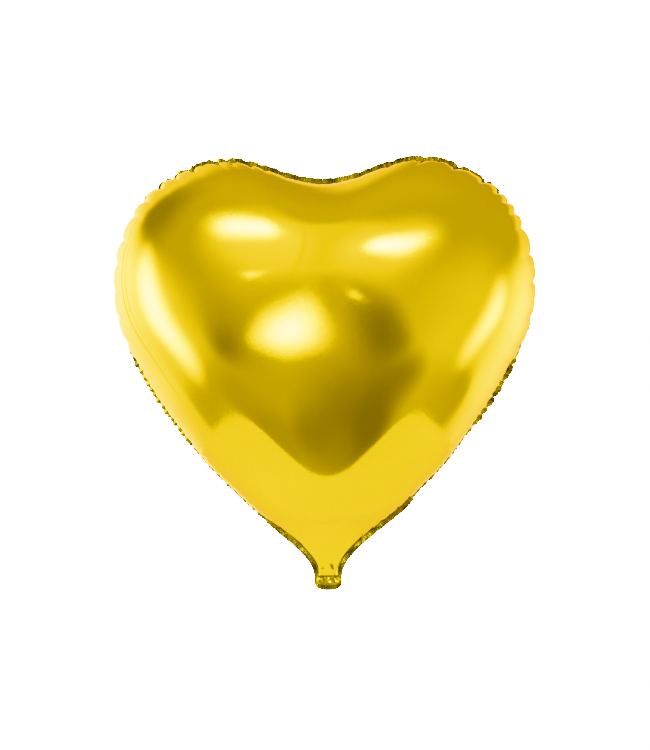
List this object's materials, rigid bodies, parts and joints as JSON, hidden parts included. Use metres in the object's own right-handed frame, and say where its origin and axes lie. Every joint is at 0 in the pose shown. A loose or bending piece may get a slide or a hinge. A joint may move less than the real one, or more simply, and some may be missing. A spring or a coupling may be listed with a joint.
{
  "type": "heart-shaped foil balloon",
  "caption": "Inflated heart-shaped foil balloon: front and back foil panels welded at a flat seam, a film valve inside the neck and a flat tail that folds at a crease.",
  "frame": {"origin": "the tie point: the middle of the neck where a ribbon or a stick is tied, in the plane of the seam", "axes": "+Z from the tie point up to the lobes, X across the lobes, and the front panel faces -Y"},
  "size_m": [0.345, 0.188, 0.3562],
  "materials": {
    "gold_foil": "metallised gold film, mirror bright, slightly crinkled at the welds",
    "clear_film": "clear soft polyethylene film, slightly milky"
  },
  "bodies": {
    "balloon": {"front_panel": "gold_foil", "back_panel": "gold_foil", "valve_front_film": "clear_film", "valve_back_film": "clear_film"},
    "tail": {"tail_front_panel": "gold_foil", "tail_back_panel": "gold_foil", "valve_mouth_front_film": "clear_film", "valve_mouth_back_film": "clear_film"}
  },
  "joints": [
    {"name": "tail_fold", "type": "hinge", "parent": "balloon", "child": "tail", "pos_m": [0, 0, -0.0057], "axis": [1, 0, 0], "range_deg": [-120, 120]}
  ]
}
